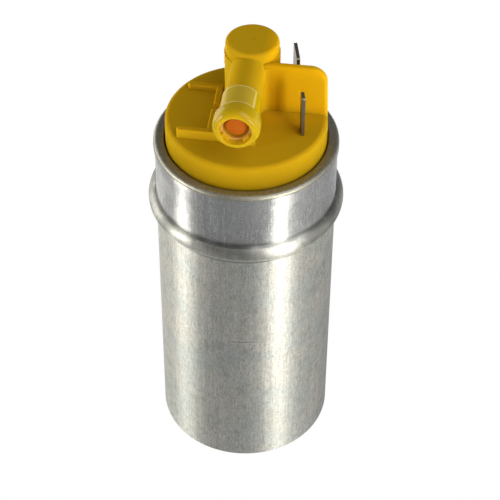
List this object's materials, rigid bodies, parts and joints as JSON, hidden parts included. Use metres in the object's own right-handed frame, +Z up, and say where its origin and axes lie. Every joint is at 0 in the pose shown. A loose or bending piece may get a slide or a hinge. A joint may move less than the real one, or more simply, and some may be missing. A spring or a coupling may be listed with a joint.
{
  "type": "in-tank electric fuel pump",
  "caption": "Crimped aluminium can with a rolled bead, an amber moulded outlet cap, a sideways hose nozzle, a divider wall and upright blade terminals, with its motor and impeller pump inside.",
  "frame": {"origin": "middle of the can's base, on the plane of its bottom lip", "axes": "+Z up the can towards the outlet cap, -Y the way the hose nozzle points, +X towards the divider wall"},
  "size_m": [0.0468, 0.0468, 0.1139],
  "materials": {
    "can": "satin drawn tube with faint lengthwise drawing lines",
    "cap": "glossy amber moulded plastic",
    "seal": "black moulded rubber",
    "blade": "bright tin plate",
    "ferrite": "dull grey-black sintered ferrite",
    "enamelled_wire": "copper under clear enamel",
    "holder": "black moulded plastic",
    "carbon": "dull pressed carbon",
    "spring_steel": "drawn spring wire",
    "copper": "bare copper",
    "bronze": "sintered bronze",
    "steel": "ground steel",
    "washer": "natural hard plastic",
    "hub": "brown moulded phenolic",
    "laminations": "stacked electrical sheet",
    "plated_steel": "zinc-plated steel tube",
    "cast": "die-cast, machined on the running faces",
    "impeller": "dark moulded phenolic",
    "brass": "turned brass",
    "poppet": "natural moulded plastic",
    "guide": "orange moulded plastic"
  },
  "bodies": {
    "housing": {"housing_can": "can", "outlet_cap": "cap", "cap_seal": "seal", "terminal_front": "blade", "terminal_back": "blade", "choke_core_front": "ferrite", "choke_core_back": "ferrite", "choke_coil_front": "enamelled_wire", "choke_coil_back": "enamelled_wire", "brush_holder": "holder", "brush_spring_right": "spring_steel", "brush_spring_left": "spring_steel", "brush_lead_right": "copper", "brush_lead_left": "copper", "upper_bearing": "bronze", "magnet_right": "ferrite", "magnet_left": "ferrite", "magnet_clip_front": "spring_steel", "magnet_clip_back": "spring_steel", "flux_ring": "plated_steel", "pump_casing": "cast", "lower_bearing": "carbon", "inlet_cover": "cast", "thrust_button": "washer", "relief_seat": "brass", "relief_spring": "spring_steel", "check_spring": "spring_steel", "valve_guide": "guide", "retaining_washer": "steel"},
    "rotor": {"shaft": "steel", "thrust_washer": "washer", "commutator_hub": "hub", "commutator_segments": "copper", "armature_core": "laminations", "armature_winding": "enamelled_wire", "impeller": "impeller"},
    "brush_right_body": {"brush_right": "carbon"},
    "brush_left_body": {"brush_left": "carbon"},
    "relief_ball_body": {"relief_ball": "steel"},
    "check_poppet_body": {"check_poppet": "poppet"}
  },
  "joints": [
    {"name": "rotor_spin", "type": "hinge", "parent": "housing", "child": "rotor", "pos_m": [0, 0, 0.042], "axis": [0, 0, 1], "continuous": true},
    {"name": "brush_right_lift", "type": "slide", "parent": "housing", "child": "brush_right_body", "axis": [0, 0, 1], "range_m": [0, 0.0012], "stiffness_N_per_m": 200, "springref_m": -0.003, "deforming": ["brush_spring_right", "brush_lead_right"]},
    {"name": "brush_left_lift", "type": "slide", "parent": "housing", "child": "brush_left_body", "axis": [0, 0, 1], "range_m": [0, 0.0012], "stiffness_N_per_m": 200, "springref_m": -0.003, "deforming": ["brush_spring_left", "brush_lead_left"]},
    {"name": "relief_ball_drop", "type": "slide", "parent": "housing", "child": "relief_ball_body", "axis": [0, 0, -1], "range_m": [0, 0.0012], "stiffness_N_per_m": 400, "springref_m": -0.002, "deforming": ["relief_spring"]},
    {"name": "check_poppet_open", "type": "slide", "parent": "housing", "child": "check_poppet_body", "axis": [0, -1, 0], "range_m": [0, 0.002], "stiffness_N_per_m": 200, "springref_m": -0.001, "deforming": ["check_spring"]}
  ]
}
